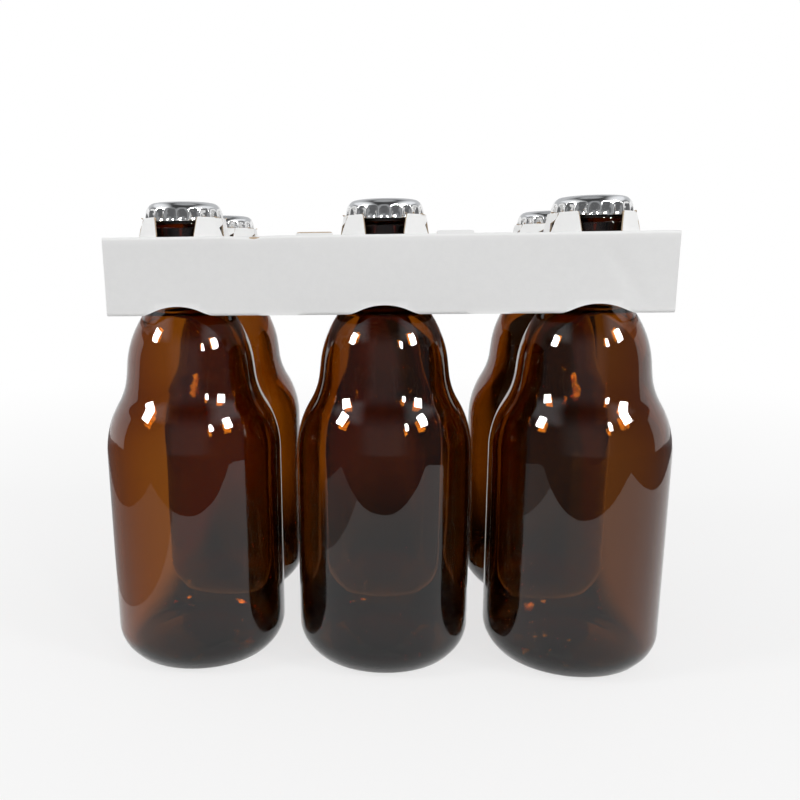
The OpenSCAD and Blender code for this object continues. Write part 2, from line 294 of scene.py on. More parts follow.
LIP_Z = BOTTLE_H - LIP_H
THROAT_TOP_Z = LIP_Z - LIP_SLOPE
THROAT_LOW_Z = THROAT_TOP_Z - THROAT_H
BEAD_TOP_Z = THROAT_LOW_Z - BEAD_SLOPE
BEAD_LOW_Z = BEAD_TOP_Z - BEAD_H
BEAD_FOOT_Z = BEAD_LOW_Z - BEAD_SLOPE
BORE_END_Z = BOTTLE_H - BORE_L
FLARE_END_Z = BORE_END_Z - FLARE_L

# each corner's radius, height and rounding, and the wall of the stretch that follows it
GLASS = [
    (0.0, PUSHUP_H, 0, BASE_WALL),  # middle of the hollow under the base
    (12.0, PUSHUP_H, 30, BASE_WALL),
    (20.8, 0.0, EDGE_ROUND, BASE_WALL),  # ring that the bottle stands on
    (27.8, 0.0, 6, WALL),  # heel
    (BODY_R, 7.2, 13.5, WALL),
    (BODY_R, 92.9, 38, SHOULDER_WALL),  # shoulder
    (25.5, 107.05, 26, WAIST_WALL),  # waist
    (23.25, 127.9, 38, WALL),  # bulb
    (NECK_R, 140.8, 14.5, WALL),  # neck
    (NECK_R, FLARE_END_Z, 0, WALL),
]
# the same without walls, from the neck over the lip and down the bore
MOUTH = [
    (NECK_R, BEAD_FOOT_Z, EDGE_ROUND),
    (BEAD_R, BEAD_LOW_Z, EDGE_ROUND),
    (BEAD_R, BEAD_TOP_Z, EDGE_ROUND),
    (THROAT_R, THROAT_LOW_Z, EDGE_ROUND),
    (THROAT_R, THROAT_TOP_Z, EDGE_ROUND),
    (LIP_R, LIP_Z, EDGE_ROUND),
    (LIP_R, BOTTLE_H, 3),
    (BORE_R, BOTTLE_H, 1),
    (BORE_R, BORE_END_Z, 6),
    (NECK_R - WALL, FLARE_END_Z, 6),
]


def glass_section():
    """Half section of the glass as an array of radius and height, in millimetres."""
    corners = [np.array(row[:2]) for row in GLASS]
    rounds = [row[2] for row in GLASS]
    walls = [row[3] for row in GLASS]
    inner, inner_rounds = inset_line(corners, rounds, walls, EDGE_ROUND)
    chain = corners[:-1] + [np.array(row[:2]) for row in MOUTH] + inner[-2::-1]
    radii = rounds[:-1] + [row[2] for row in MOUTH] + inner_rounds[-2::-1]
    return rounded_line(chain, radii, SECTION_TOLERANCE)


glass_points = glass_section()
print("glass section has", len(glass_points), "points up to", round(glass_points[:, 1].max(), 2))

# %% [markdown]
# ## One tree that turns a section on every place
# Bottles and caps are both turned from a section and stand on the same six places. A Geometry
# Nodes tree does that once for both. It lays out a flat grid, one column for each angle, bends
# it round the axis with Set Position, and puts a copy on each place of the pack. A section
# point can carry a flute depth: there the radius swells and shrinks round the axis, which is
# how a cap gets its flutes. Each copy is turned by a random angle with a fixed seed, because
# nobody lines up bottles and caps by their flutes.

# %% Geometry Nodes tree: bend a grid round the axis
TURN_INPUTS = [
    ("Section", "NodeSocketGeometry"),
    ("Angles", "NodeSocketInt"),
    ("Flutes", "NodeSocketInt"),
    ("Flute Sharpness", "NodeSocketFloat"),
    ("Columns", "NodeSocketInt"),
    ("Rows", "NodeSocketInt"),
    ("Pitch", "NodeSocketFloat"),
    ("Turn Seed", "NodeSocketInt"),
    ("Material", "NodeSocketMaterial"),
]
SEAM_GAP = 1e-6
FLUTE_DEPTH = "flute_depth"


def bend_grid(tree, given):
    """A grid bent round the axis, one column of section points for each angle."""
    section = given["Section"]
    count = add_node(
        tree, "GeometryNodeAttributeDomainSize", {0: section}, component="MESH"
    ).outputs["Point Count"]
    columns = calc(tree, "ADD", given["Angles"], 1.0)
    grid = add_node(tree, "GeometryNodeMeshGrid", {"Vertices X": columns, "Vertices Y": count})
    index = add_node(tree, "GeometryNodeInputIndex").outputs[0]
    column = calc(tree, "FLOOR", calc(tree, "DIVIDE", calc(tree, "ADD", index, 0.5), count))
    step = calc(tree, "SUBTRACT", index, calc(tree, "MULTIPLY", column, count))
    angle = calc(
        tree, "MULTIPLY", calc(tree, "DIVIDE", column, given["Angles"]), 2 * math.pi
    )
    position = add_node(tree, "GeometryNodeInputPosition").outputs[0]
    point = add_node(
        tree,
        "GeometryNodeSampleIndex",
        {"Geometry": section, "Value": position, "Index": step},
        data_type="FLOAT_VECTOR",
    )
    depth_field = add_node(
        tree, "GeometryNodeInputNamedAttribute", {"Name": FLUTE_DEPTH}, data_type="FLOAT"
    )
    depth = add_node(
        tree,
        "GeometryNodeSampleIndex",
        {"Geometry": section, "Value": depth_field.outputs[0], "Index": step},
        data_type="FLOAT",
    )
    wave = calc(tree, "COSINE", calc(tree, "MULTIPLY", angle, given["Flutes"]))
    swell = calc(tree, "MULTIPLY_ADD", wave, 0.5, 0.5)
    swell = calc(tree, "POWER", swell, given["Flute Sharpness"])
    split = add_node(tree, "ShaderNodeSeparateXYZ", {0: point.outputs[0]})
    radius = calc(tree, "MULTIPLY_ADD", swell, depth.outputs[0], split.outputs["X"])
    bent = add_node(
        tree,
        "ShaderNodeCombineXYZ",
        {
            "X": calc(tree, "MULTIPLY", radius, calc(tree, "COSINE", angle)),
            "Y": calc(tree, "MULTIPLY", radius, calc(tree, "SINE", angle)),
            "Z": split.outputs["Z"],
        },
    )
    placed = add_node(
        tree,
        "GeometryNodeSetPosition",
        {"Geometry": grid.outputs["Mesh"], "Position": bent.outputs[0]},
    )
    return add_node(
        tree,
        "GeometryNodeMergeByDistance",
        {"Geometry": placed.outputs[0], "Distance": SEAM_GAP},
    ).outputs[0]


print("inputs of the tree:", [name for name, kind in TURN_INPUTS])


# %% Geometry Nodes tree: a turned copy on every place
def turn_on_places():
    """The whole tree, and the identifiers of its inputs by their names."""
    tree = bpy.data.node_groups.new("turn_on_places", "GeometryNodeTree")
    sockets = {
        name: tree.interface.new_socket(name, in_out="INPUT", socket_type=kind).identifier
        for name, kind in TURN_INPUTS
    }
    tree.interface.new_socket("Geometry", in_out="OUTPUT", socket_type="NodeSocketGeometry")
    given = add_node(tree, "NodeGroupInput").outputs

    def reach(count):
        return calc(tree, "MULTIPLY", given["Pitch"], calc(tree, "SUBTRACT", given[count], 1.0))

    turned = add_node(tree, "GeometryNodeSetShadeSmooth", {0: bend_grid(tree, given)})
    places = add_node(
        tree,
        "GeometryNodeMeshGrid",
        {
            "Size X": reach("Columns"),
            "Size Y": reach("Rows"),
            "Vertices X": given["Columns"],
            "Vertices Y": given["Rows"],
        },
    )
    turn = add_node(
        tree,
        "FunctionNodeRandomValue",
        {3: 2 * math.pi, "Seed": given["Turn Seed"]},
        data_type="FLOAT",
    )
    rotation = add_node(
        tree,
        "FunctionNodeEulerToRotation",
        {0: add_node(tree, "ShaderNodeCombineXYZ", {"Z": turn.outputs[1]}).outputs[0]},
    )
    copies = add_node(
        tree,
        "GeometryNodeInstanceOnPoints",
        {
            "Points": places.outputs["Mesh"],
            "Instance": turned.outputs[0],
            "Rotation": rotation.outputs[0],
        },
    )
    real = add_node(tree, "GeometryNodeRealizeInstances", {0: copies.outputs[0]})
    painted = add_node(
        tree,
        "GeometryNodeSetMaterial",
        {"Geometry": real.outputs[0], "Material": given["Material"]},
    )
    add_node(tree, "NodeGroupOutput", {0: painted.outputs[0]})
    return tree, sockets


turn_tree, turn_sockets = turn_on_places()
print("tree turn_on_places has", len(turn_tree.nodes), "nodes")

# %% [markdown]
# ## From a section to a finished piece
# The section goes in as a mesh that is only a line. The modifier's inputs are set by the
# identifiers of the sockets, the evaluated result becomes a plain mesh, and the modifier goes.


# %% Turn a section into a plain mesh
def link_object(name, mesh):
    made = bpy.data.objects.new(name, mesh)
    bpy.context.scene.collection.objects.link(made)
    return made


def plain_mesh(piece):
    """The evaluated piece as a plain mesh, with its modifiers removed."""
    depsgraph = bpy.context.evaluated_depsgraph_get()
    mesh = bpy.data.meshes.new_from_object(piece.evaluated_get(depsgraph))
    mesh.name = piece.name
    piece.modifiers.clear()
    piece.data = mesh
    return piece


def turned_piece(name, section, depths, material, angles, flutes, sharpness, seed):
    """A section of radius and height in millimetres, turned on all six places."""
    line = bpy.data.meshes.new(name + "_section")
    points = [(r * MM, 0, z * MM) for r, z in section]
    line.from_pydata(points, [(i, i + 1) for i in range(len(points) - 1)], [])
    depth = line.attributes.new(FLUTE_DEPTH, "FLOAT", "POINT")
    depth.data.foreach_set("value", np.asarray(depths, np.float32) * MM)
    piece = link_object(name, line)
    modifier = piece.modifiers.new("turn", "NODES")
    modifier.node_group = turn_tree
    values = {
        "Angles": angles,
        "Flutes": flutes,
        "Flute Sharpness": sharpness,
        "Columns": COLUMNS,
        "Rows": ROWS,
        "Pitch": PITCH * MM,
        "Turn Seed": seed,
        "Material": material,
    }
    for key, value in values.items():
        modifier[turn_sockets[key]] = value
    plain_mesh(piece)
    mesh = piece.data
    if FLUTE_DEPTH in mesh.attributes:
        mesh.attributes.remove(mesh.attributes[FLUTE_DEPTH])
    triangles = sum(len(p.vertices) - 2 for p in mesh.polygons)
    print(name, "has", triangles, "triangles")
    return piece


# %% Bottles
BOTTLE_ANGLES, BOTTLE_SEED = 84, 4
bottles = turned_piece(
    "glass_bottles",
    glass_points,
    np.zeros(len(glass_points)),
    amber,
    angles=BOTTLE_ANGLES,
    flutes=1,
    sharpness=1.0,
    seed=BOTTLE_SEED,
)

# %% [markdown]
# ## Crown caps
# A crown cap is a disc of bright tinplate, pressed over the lip so that its skirt stands in
# twenty-one flutes. Its section runs down the inside of the sheet, round the rim and up the
# outside, and the flute depth grows from nothing at the shoulder to its full size near the rim.
# The shoulder could be one arc, but a real one turns over in a tightening curve, so a few
# depths with their radii say where the troughs and the ridges run.

# %% Tinplate material
TIN_COLOUR, TIN_DULL = (0.86, 0.86, 0.85), (0.74, 0.74, 0.75)


def tinplate():
    material, tree, output = new_material("tinplate")
    at = object_coordinates(tree)
    grain = noise(tree, stretched(tree, at, (300, 2600, 2600)), 1.0, detail=3.0)
    clouds = noise(tree, at, 160.0, detail=3.0)
    metal = {
        "Base Color": blend_colours(tree, clouds, TIN_COLOUR, TIN_DULL),
        "Metallic": 1.0,
        "Roughness": spread(tree, clouds, 0.08, 0.22),
        "Normal": bumped(tree, grain, 0.06, 0.0002),
    }
    principled(tree, output, metal)
    return material


tin = tinplate()
print("tinplate", TIN_COLOUR, "with dull clouds", TIN_DULL)

# %% Caps
TIN_T, LINER_T = 0.25, 0.7
CROWN_TOP_Z = BOTTLE_H + LINER_T + TIN_T
CROWN_H = 6.9
CROWN_RIM_Z = CROWN_TOP_Z - CROWN_H
RIM_R = 14.6
FLUTES, POINTS_PER_FLUTE, FLUTE_SHARPNESS = 21, 12, 1.9
CAP_ROWS, CAP_ROW_SPREAD = 30, 1.3
CAP_FLAT_SHARES = (0.6, 0.3, 0)
CAP_SEED = 11
# depth below the top, radius in a trough between flutes and radius on a flute's ridge
CAP_SIDE = np.array(
    [
        (0.0, 10.80, 10.80),
        (0.12, 11.50, 11.50),
        (0.35, 12.14, 12.14),
        (0.75, 12.72, 12.72),
        (1.3, 13.26, 13.26),
        (1.9, 13.66, 13.66),
        (2.5, 13.90, 13.94),
        (3.1, 13.86, 14.14),
        (3.8, 13.68, 14.28),
        (4.6, 13.57, 14.38),
        (5.5, 13.42, 14.47),
        (6.2, 13.52, 14.53),
        (CROWN_H, 13.78, RIM_R),
    ]
)


def smooth_curve(at, knots, values):
    """A smooth curve through knots: each stretch is a cubic with the slopes of its neighbours."""
    slopes = np.gradient(values, knots)
    i = np.clip(np.searchsorted(knots, at) - 1, 0, len(knots) - 2)
    run = knots[i + 1] - knots[i]
    u = (at - knots[i]) / run
    first = values[i] * (1 + 2 * u) * (1 - u) ** 2 + values[i + 1] * u**2 * (3 - 2 * u)
    return first + run * (slopes[i] * u * (1 - u) ** 2 - slopes[i + 1] * u**2 * (1 - u))


def cap_side(inset):
    """One side of the sheet from the rim to the middle of the top: radius, height, flute depth."""
    depth = CROWN_H * np.linspace(1, 0, CAP_ROWS) ** CAP_ROW_SPREAD
    trough = smooth_curve(depth, CAP_SIDE[:, 0], CAP_SIDE[:, 1])
    ridge = smooth_curve(depth, CAP_SIDE[:, 0], CAP_SIDE[:, 2])
    slope = np.arctan2(np.gradient(depth), np.gradient(trough))
    lean = np.abs(np.sin(slope))
    radius = trough - inset * lean
    height = CROWN_TOP_Z - depth - inset * np.sqrt(1 - lean**2)
    side = list(zip(radius, height, ridge - trough))
    side[0] = (radius[0], CROWN_RIM_Z, ridge[0] - trough[0])
    flat = [(radius[-1] * share, height[-1], 0) for share in CAP_FLAT_SHARES]
    return side + flat


cap_points = np.array(cap_side(TIN_T)[::-1] + cap_side(0))
caps = turned_piece(
    "crown_caps",
    cap_points[:, :2],
    cap_points[:, 2],
    tin,
    angles=FLUTES * POINTS_PER_FLUTE,
    flutes=FLUTES,
    sharpness=FLUTE_SHARPNESS,
    seed=CAP_SEED,
)

# %% [markdown]
# ## Board
# The carrier is one sheet of board: white clay coat outside, brown kraft inside and at every
# cut edge. Its outline is drawn flat, as on the die-cutter's drawing: x runs along the sleeve
# and s runs round it, from the glue lap over the front, top and back panels to the lap again.
# The flat drawing is filled with triangles and only then folded, so the folds, the tabs and
# the finger flaps are one continuous sheet with real bends.

# %% Sizes of the flat blank
BOARD_T = 0.5
SLEEVE_L, SLEEVE_D, SLEEVE_H = 202.0, 112.0, 27.8
TAB_LEN, TAB_TIP_W, TAB_SIDES = 7.2, 7.8, 8
TAB_LEAN = math.radians(8)
TAB_OVER, TAB_CLEAR = 1.4, 0.1
TAB_RISE = TAB_LEN * math.cos(TAB_LEAN) - TAB_OVER
SLEEVE_TOP_Z = CROWN_RIM_Z - TAB_RISE
SLEEVE_LOW_Z = SLEEVE_TOP_Z - SLEEVE_H
FOLD_ROUND, FOLD_TOLERANCE = 1.2, 0.002
LAP_HALF = 9.0
BASE_RUN = SLEEVE_D / 2 + LAP_HALF
FRONT_S = BASE_RUN
TOP_S = FRONT_S + SLEEVE_H
BACK_S = TOP_S + SLEEVE_D
BASE_S = BACK_S + SLEEVE_H
END_S = BASE_S + BASE_RUN
FOLDS_S = (FRONT_S, TOP_S, BACK_S, BASE_S)
print("flat blank", SLEEVE_L, "by", round(END_S, 1), "mm; top panel at", round(SLEEVE_TOP_Z, 2))


# %% Fold the flat sheet round the section
def section_path(radius):
    """Lengths s along the sheet, and the y and z of the folded section there."""
    y0, y1, z0, z1 = -SLEEVE_D / 2, SLEEVE_D / 2, SLEEVE_LOW_Z, SLEEVE_TOP_Z
    corners = [(LAP_HALF, z0), (y0, z0), (y0, z1), (y1, z1), (y1, z0), (-LAP_HALF, z0)]
    lengths = [0, *FOLDS_S, END_S]
    s, points = [0.0], [corners[0]]
    for i in range(1, len(corners) - 1):
        triple = [np.array(c, float) for c in corners[i - 1 : i + 2]]
        arc = corner_arc(*triple, radius, FOLD_TOLERANCE)
        s += list(np.linspace(lengths[i] - radius, lengths[i] + radius, len(arc)))
        points += [tuple(p) for p in arc]
    points.append(corners[-1])
    s.append(END_S)
    return np.array(s), np.array(points)


ROUND_PATH, SHARP_PATH = section_path(FOLD_ROUND), section_path(0)


def along_path(path, s):
    """The y and z of the folded section at the lengths s."""
    lengths, points = path
    return np.interp(s, lengths, points[:, 0]), np.interp(s, lengths, points[:, 1])


def smooth_step(value, low, high):
    """0 below low, 1 above high, and a soft slope between them."""
    share = np.clip((value - low) / (high - low), 0, 1)
    return share * share * (3 - 2 * share)


def directions(angle):
    """A way on the flat sheet at this angle, and the way to its left."""
    out = np.array([math.cos(angle), math.sin(angle)])
    return out, np.array([-out[1], out[0]])


print("folded section has", len(ROUND_PATH[0]), "points")

# %% [markdown]
# ## Cuts in the blank
# Four kinds of cut open the sheet. Each neck passes through an eight-sided opening whose seven
# tabs fold up and catch under the cap. Under each bottle a round hole runs over the lower fold,
# so that it shows as a low arch in the side panel. Between bottles the lower fold is cut open.
# A finger hole with a flap stands on each side of the middle bottle. A boolean could punch them
# all, but it leaves ragged triangles, and a tab has to stay joined to the sheet at its fold.

# %% Tabs: outlines in the flat and their rows of points
TAB_FOLD_R, FLAP_FOLD_R = 0.35, 0.8
TAB_TURN, FLAP_TURN = math.pi / 2 - TAB_LEAN, math.radians(22)
TAB_HINGE = RIM_R + TAB_CLEAR + BOARD_T / math.cos(TAB_LEAN) + TAB_RISE * math.tan(TAB_LEAN)
TAB_GAP = 0.3
TAB_BASE_HALF = TAB_HINGE * math.tan(math.pi / TAB_SIDES) - TAB_GAP
TAB_ROUND = 0.5
OPEN_SIDE = TAB_HINGE - BOARD_T
FINGER_X, FINGER_HALF_W, FINGER_HALF_L, FINGER_ROUND = 29.0, 8.0, 11.0, 7.0
FINGERS_X = (-FINGER_X, FINGER_X)
FLAP_HALF_W, FLAP_LEN, FLAP_ROUND = 7.5, 9.4, 1.5
BEND_ROWS, TAB_ROWS, FLAP_ROWS, TAB_COLUMNS = 5, 5, 6, 9


def tab_shape(hinge, turn, fold_r, length, base_half, tip_half, tip_round, rows):
    """A tab in the flat: distance from its fold, half width there, and how it turns up."""
    tangent = fold_r * math.tan(turn / 2)
    bend = fold_r * turn
    flat_length = bend + length - tangent
    straight = np.linspace(bend, flat_length - tip_round, rows)[1:]
    at = np.concatenate([np.linspace(0, bend, BEND_ROWS), straight])
    half = base_half + (tip_half - base_half) * at / flat_length
    angles = np.linspace(0, math.pi / 2, BEND_ROWS)[1:]
    at = np.concatenate([at, flat_length - tip_round + tip_round * np.sin(angles)])
    tip = tip_half - tip_round + tip_round * np.cos(angles)
    return {
        "hinge": hinge + tangent,
        "turn": turn,
        "fold_r": fold_r,
        "at": at,
        "half": np.concatenate([half, tip]),
    }


NECK_TAB = tab_shape(
    TAB_HINGE, TAB_TURN, TAB_FOLD_R, TAB_LEN, TAB_BASE_HALF, TAB_TIP_W / 2, TAB_ROUND, TAB_ROWS
)
FLAP = tab_shape(
    FINGER_HALF_L, FLAP_TURN, FLAP_FOLD_R, FLAP_LEN, FLAP_HALF_W, FLAP_HALF_W, FLAP_ROUND, FLAP_ROWS
)


def tab_points(tab, centre, direction):
    """The outline of a tab and the points inside it, round a centre on the flat top panel."""
    out, side = directions(direction)

    def place(w, v):
        return centre + out * (tab["hinge"] - w) + side * v

    rows = list(zip(tab["at"], tab["half"]))
    outline = [place(w, -h) for w, h in rows] + [place(w, h) for w, h in reversed(rows)]
    shares = np.linspace(-1, 1, TAB_COLUMNS)[1:-1]
    inner = [place(w, h * share) for w, h in rows for share in shares]
    return outline, inner


def top_panel(x, y):
    """Where a point of the top panel lies on the flat sheet."""
    return np.array([x, TOP_S + SLEEVE_D / 2 + y])


print("tab fold at", round(NECK_TAB["hinge"], 2), "mm, flat length", round(NECK_TAB["at"][-1], 2))

# %% Loops of all cuts, and points that the sheet needs for its bends
BASE_HOLE_R, BASE_HOLE_STEPS = 21.8, 96
CUT_HALF, CUT_REACH, CUT_STEPS = 6.5, 4.0, 14
FINGER_STEPS = 9
FOLD_CUTS_X = (-PITCH / 2, PITCH / 2)


def neck_loop(place):
    """Closed outline of one neck opening with its tabs, and points inside the tabs."""
    x, y = place
    centre, outward = top_panel(x, y), math.copysign(math.pi / 2, y)
    loop, inner = [], []
    corner_r = NECK_TAB["hinge"] / math.cos(math.pi / TAB_SIDES)
    for i in range(TAB_SIDES):
        direction = outward + 2 * math.pi * i / TAB_SIDES
        if i == 0:
            out, side = directions(direction)
            loop += [centre + out * OPEN_SIDE + side * v for v in (-TAB_BASE_HALF, TAB_BASE_HALF)]
        else:
            outline, points = tab_points(NECK_TAB, centre, direction)
            loop += outline
            inner += points
        loop.append(centre + corner_r * directions(direction + math.pi / TAB_SIDES)[0])
    return loop, inner


def finger_loop(x):
    """Closed outline of one finger hole with its flap, and points inside the flap."""
    centre = top_panel(x, 0)
    outline, inner = tab_points(FLAP, centre, -math.pi / 2)
    w, l, r = FINGER_HALF_W, FINGER_HALF_L, FINGER_ROUND
    bend = np.linspace(0, math.pi / 2, FINGER_STEPS)
    right = [(w - r + r * math.cos(t), l - r + r * math.sin(t)) for t in bend]
    far = right + [(-px, py) for px, py in reversed(right)]
    rest = [(w, -l)] + far + [(-w, -l)]
    return outline + [centre + np.array(p) for p in rest], inner


def base_hole_centre(place):
    """Where the middle of one base hole lies on the flat sheet."""
    x, y = place
    return np.array([x, LAP_HALF - y if y < 0 else BASE_S + SLEEVE_D / 2 - y])


def base_hole_loop(place):
    x, s = base_hole_centre(place)
    angles = np.linspace(0, 2 * math.pi, BASE_HOLE_STEPS, endpoint=False)
    return [
        np.array([x + BASE_HOLE_R * math.cos(t), s + BASE_HOLE_R * math.sin(t)]) for t in angles
    ]


def fold_cut_loop(x, front):
    low, high = (FRONT_S - CUT_REACH, FRONT_S) if front else (BASE_S, BASE_S + CUT_REACH)
    steps = np.linspace(-CUT_HALF, CUT_HALF, CUT_STEPS)
    return [np.array([x + d, low]) for d in steps] + [np.array([x + d, high]) for d in steps[::-1]]


loops, inner_points = [], []
for loop, inner in [neck_loop(p) for p in PLACES] + [finger_loop(x) for x in FINGERS_X]:
    loops.append(np.array(loop))
    inner_points += inner
loops += [np.array(base_hole_loop(p)) for p in PLACES]
loops += [np.array(fold_cut_loop(x, front)) for x in FOLD_CUTS_X for front in (True, False)]
print(len(loops), "cuts,", len(inner_points), "points inside tabs and flaps")

# %% Points of the flat sheet
NO_LENGTH = 1e-12
GRID_STEP, FOLD_ROWS = 2.5, 9
EDGE_ROOM, FOLD_ROOM, NECK_ROOM, FINGER_ROOM = 0.55, 0.5, 0.3, 0.5


def inside(points, loop):
    """Which points lie inside a closed loop."""
    x, y = points[:, 0], points[:, 1]
    found = np.zeros(len(points), bool)
    for a, b in zip(loop, np.roll(loop, -1, axis=0)):
        if a[1] == b[1]:
            continue
        over = (a[1] > y) != (b[1] > y)
        found ^= over & (x < (b[0] - a[0]) * (y - a[1]) / (b[1] - a[1]) + a[0])
    return found


def near_loop(points, loop, room):
    """Which points lie closer to the loop's outline than room."""
    found = np.zeros(len(points), bool)
    for a, b in zip(loop, np.roll(loop, -1, axis=0)):
        run = b - a
        share = np.clip(((points - a) @ run) / max(run @ run, NO_LENGTH), 0, 1)
        found |= np.linalg.norm(points - a - share[:, None] * run, axis=1) < room
    return found


fold_rows = [f + FOLD_ROUND * d for f in FOLDS_S for d in np.linspace(-1, 1, FOLD_ROWS)]
even_rows = np.linspace(0, END_S, round(END_S / GRID_STEP) + 1)
clear_rows = [s for s in even_rows if min(abs(s - f) for f in FOLDS_S) > FOLD_ROUND + FOLD_ROOM]
grid_s = np.sort(np.concatenate([clear_rows, fold_rows]))
grid_x = np.linspace(-SLEEVE_L / 2, SLEEVE_L / 2, round(SLEEVE_L / GRID_STEP) + 1)
grid = np.array([(x, s) for s in grid_s for x in grid_x])
free = np.ones(len(grid), bool)
for loop in loops:
    free &= ~inside(grid, loop) & ~near_loop(grid, loop, EDGE_ROOM)
for place in PLACES:
    free &= np.linalg.norm(grid - top_panel(*place), axis=1) > NECK_TAB["hinge"] + NECK_ROOM
for x in FINGERS_X:
    off_x, off_s = abs(grid - top_panel(x, 0)).T
    free &= ~((off_x < FINGER_HALF_W) & (off_s < FINGER_HALF_L + FINGER_ROOM))
print("grid points clear of the cuts:", free.sum())

# %% Fill the flat sheet with triangles
SAME_POINT = 1e-5
flat = [tuple(p) for p in grid[free]]
edges = []
for loop in loops:
    first = len(flat)
    flat += [tuple(p) for p in loop]
    edges += [(first + i, first + (i + 1) % len(loop)) for i in range(len(loop))]
flat += [tuple(p) for p in inner_points]
made = delaunay_2d_cdt([Vector(p) for p in flat], edges, [], 0, SAME_POINT)
flat = np.array([tuple(p) for p in made[0]])
triangles = np.array([f for f in made[2] if len(f) == 3])
middles = flat[triangles].mean(axis=1)
kept = np.ones(len(triangles), bool)
for loop in loops:
    kept &= ~inside(middles, loop)
triangles = triangles[kept]
print("flat sheet:", len(flat), "points,", len(triangles), "triangles")

# %% Fold it
EDGE_SLACK, FOLD_SLACK = 1e-3, 1e-6
CUT_FADE = 1.2
LAP_SLOPE, LAP_GAP = (0.3, 3.5), 0.02


def fold_up(flat, spots, tab, centre, direction):
    """Moves the points of one tab from the flat top panel onto its bend."""
    out, side = directions(direction)
    offset = flat - centre
    w = tab["hinge"] - offset @ out
    v = offset @ side
    half = np.interp(w, tab["at"], tab["half"]) + EDGE_SLACK
    chosen = (w > FOLD_SLACK) & (w < tab["at"][-1] + EDGE_SLACK) & (abs(v) < half)
    turned = np.minimum(w / tab["fold_r"], tab["turn"])
    rest = np.maximum(w - tab["fold_r"] * tab["turn"], 0)
    reach = tab["hinge"] - tab["fold_r"] * np.sin(turned) - rest * math.cos(tab["turn"])
    rise = tab["fold_r"] * (1 - np.cos(turned)) + rest * math.sin(tab["turn"])
    place = reach[:, None] * out + v[:, None] * side
    spots[chosen, 0] = centre[0] + place[chosen, 0]
    spots[chosen, 1] = centre[1] - TOP_S - SLEEVE_D / 2 + place[chosen, 1]
    spots[chosen, 2] = SLEEVE_TOP_Z + rise[chosen]
    return chosen


def fold_sheet(flat):
    """Where each point of the flat sheet lies on the folded carrier, in millimetres."""
    x, s = flat[:, 0], flat[:, 1]
    round_y, round_z = along_path(ROUND_PATH, s)
    sharp_y, sharp_z = along_path(SHARP_PATH, s)
    cut = np.zeros(len(flat))
    for at in FOLD_CUTS_X:
        cut = np.maximum(cut, 1 - smooth_step(abs(x - at), CUT_HALF, CUT_HALF + CUT_FADE))
    lower = (s < (FRONT_S + TOP_S) / 2) | (s > (BACK_S + BASE_S) / 2)
    cut = np.where(lower, cut, 0)
    y = round_y + (sharp_y - round_y) * cut
    z = round_z + (sharp_z - round_z) * cut
    on_lap = 1 - smooth_step(y, *(LAP_HALF + step for step in LAP_SLOPE))
    z = z + np.where(s > BASE_S, on_lap, 0) * (BOARD_T + LAP_GAP)
    spots = np.stack([x, y, z], axis=1)
    tabs = np.zeros(len(flat), bool)
    for px, py in PLACES:
        outward = math.copysign(math.pi / 2, py)
        for i in range(1, TAB_SIDES):
            direction = outward + 2 * math.pi * i / TAB_SIDES
            tabs |= fold_up(flat, spots, NECK_TAB, top_panel(px, py), direction)
    for fx in FINGERS_X:
        tabs |= fold_up(flat, spots, FLAP, top_panel(fx, 0), -math.pi / 2)
    return spots, tabs


spots, on_tabs = fold_sheet(flat)
print("folded sheet spans", np.ptp(spots, axis=0).round(1), "mm;", on_tabs.sum(), "points on tabs")

# %% [markdown]
# ## Handling marks
# A sleeve that has been pulled over six bottles is never perfect: the panels bow a little, the
# top edge is dented between two bottles, and a crease runs across one end. A bump in the
# material would vanish at the outline, so these are real moves of the points. They are all
# smooth, and none is over a millimetre.

# %% Warps, dents and creases
PANEL_FADE, TOP_FADE = (50.0, 55.5), (1.5, 0.2)
BOW_DEPTH = 0.35
WAVE_DEPTH, WAVE_L, WAVE_START = 0.25, 21, 0.6
SAG_DEPTH, SAG_HALF, SAG_EVEN, SAG_L = 0.5, 20, 0.6, 17
DENT_X, DENT_DEPTH, DENT_PUSH = -48.0, 0.4, 0.7
DENT_REACH = (5.0, 3.5, 4.0)
CREASE_A, CREASE_B = np.array([76.0, 159.5]), np.array([91.0, 138.0])
CREASE_DEPTH, CREASE_HALF, CREASE_FADE = 0.3, 2.2, (-1, 5)


def bell(distance, reach):
    """1 at no distance, and a smooth fall to nearly 0 at twice the reach."""
    return np.exp(-((distance / reach) ** 2))


